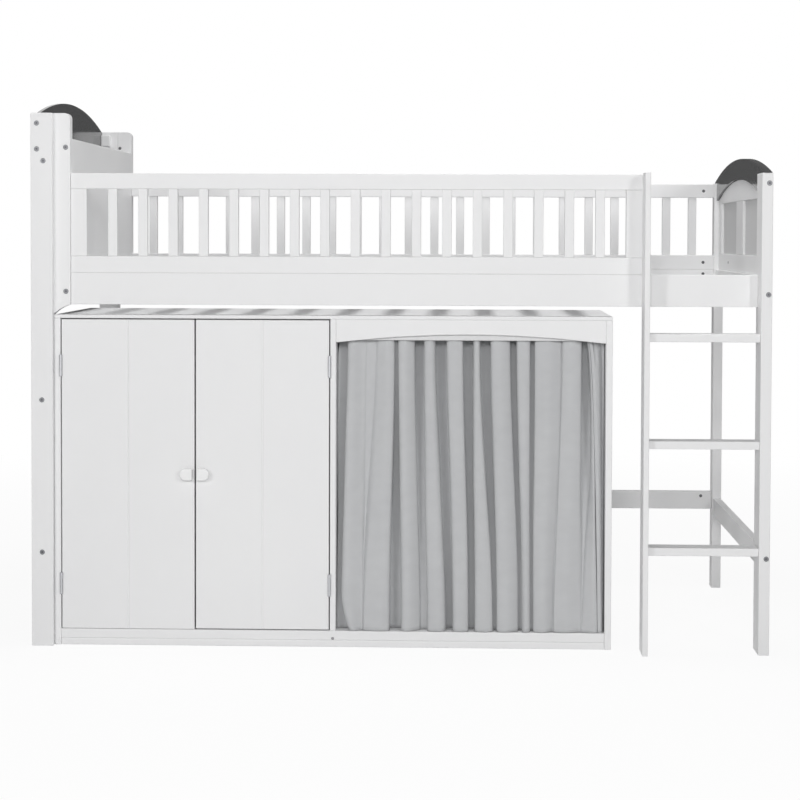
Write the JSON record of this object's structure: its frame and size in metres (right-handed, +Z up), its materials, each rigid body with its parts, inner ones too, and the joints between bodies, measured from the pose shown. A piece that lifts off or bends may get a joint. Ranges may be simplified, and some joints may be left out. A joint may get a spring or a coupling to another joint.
{
  "type": "loft bed",
  "caption": "Mid-height loft bed with slatted guards, a built-in ladder, dark arched end panels and a low cabinet with hinged doors and a curtained bay.",
  "frame": {"origin": "centre of the bounding box, on the floor", "axes": "+X along the bed from the head end to the foot end with the ladder, +Y from the cabinet front to the back, +Z up"},
  "size_m": [2.03, 1.077, 1.532],
  "materials": {
    "white_painted_wood": "satin white paint",
    "dark_gloss_panel": "gloss dark grey lacquer",
    "zinc_steel": "zinc plated",
    "curtain_cloth": "plain woven light grey",
    "white_plastic": "matte white",
    "knob_plastic": "semi-gloss white"
  },
  "bodies": {
    "frame": {"back_guard_balusters": "white_painted_wood", "back_guard_bottom_rail": "white_painted_wood", "back_guard_top_rail": "white_painted_wood", "back_side_rail": "white_painted_wood", "back_stretcher": "white_painted_wood", "barrel_nuts": "zinc_steel", "bed_slats": "white_painted_wood", "cabinet_back": "white_painted_wood", "cabinet_base_rail": "white_painted_wood", "cabinet_bottom": "white_painted_wood", "cabinet_divider": "white_painted_wood", "cabinet_left_side": "white_painted_wood", "cabinet_plinth": "white_painted_wood", "cabinet_right_side": "white_painted_wood", "cabinet_top": "white_painted_wood", "curtain": "curtain_cloth", "curtain_batten": "white_painted_wood", "curtain_rod": "zinc_steel", "foot_arch_panel": "dark_gloss_panel", "foot_cross_rail": "white_painted_wood", "foot_post_back": "white_painted_wood", "foot_post_front": "white_painted_wood", "foot_stretcher": "white_painted_wood", "footboard_lower_rail": "white_painted_wood", "footboard_mid_stile": "white_painted_wood", "footboard_panels": "white_painted_wood", "footboard_stiles": "white_painted_wood", "footboard_top_rail": "white_painted_wood", "frame_bolts": "zinc_steel", "front_guard_balusters": "white_painted_wood", "front_guard_bottom_rail": "white_painted_wood", "front_guard_stiles": "white_painted_wood", "front_guard_top_rail": "white_painted_wood", "front_side_rail": "white_painted_wood", "head_arch_panel": "dark_gloss_panel", "head_corner_blocks": "white_painted_wood", "head_cross_rail": "white_painted_wood", "head_end_rails": "white_painted_wood", "head_leg_back": "white_painted_wood", "head_leg_front": "white_painted_wood", "head_post_back": "white_painted_wood", "head_post_front": "white_painted_wood", "head_shelf": "white_painted_wood", "head_shelf_back_rail": "white_painted_wood", "headboard_panel": "white_painted_wood", "hinge_frame_leaves": "zinc_steel", "hinge_pins": "zinc_steel", "ladder_rungs": "white_painted_wood", "ladder_stile": "white_painted_wood", "rod_sockets": "white_plastic", "screw_caps": "white_plastic", "slat_ledges": "white_painted_wood", "valance": "white_painted_wood"},
    "left_door": {"left_door": "white_painted_wood", "left_knob": "knob_plastic", "left_hinge_leaves": "zinc_steel"},
    "right_door": {"right_door": "white_painted_wood", "right_knob": "knob_plastic", "right_hinge_leaves": "zinc_steel"},
    "curtain_lead": {"curtain_lead_hem": "curtain_cloth"}
  },
  "joints": [
    {"name": "left_door_hinge", "type": "hinge", "parent": "frame", "child": "left_door", "pos_m": [-0.935, -0.4645, 0.478], "axis": [0, 0, -1], "range_deg": [0, 140]},
    {"name": "right_door_hinge", "type": "hinge", "parent": "frame", "child": "right_door", "pos_m": [-0.1895, -0.4645, 0.478], "axis": [0, 0, 1], "range_deg": [0, 140]},
    {"name": "curtain_draw", "type": "slide", "parent": "frame", "child": "curtain_lead", "axis": [-1, 0, 0], "range_m": [0, 0.5], "deforming": ["curtain"]}
  ]
}
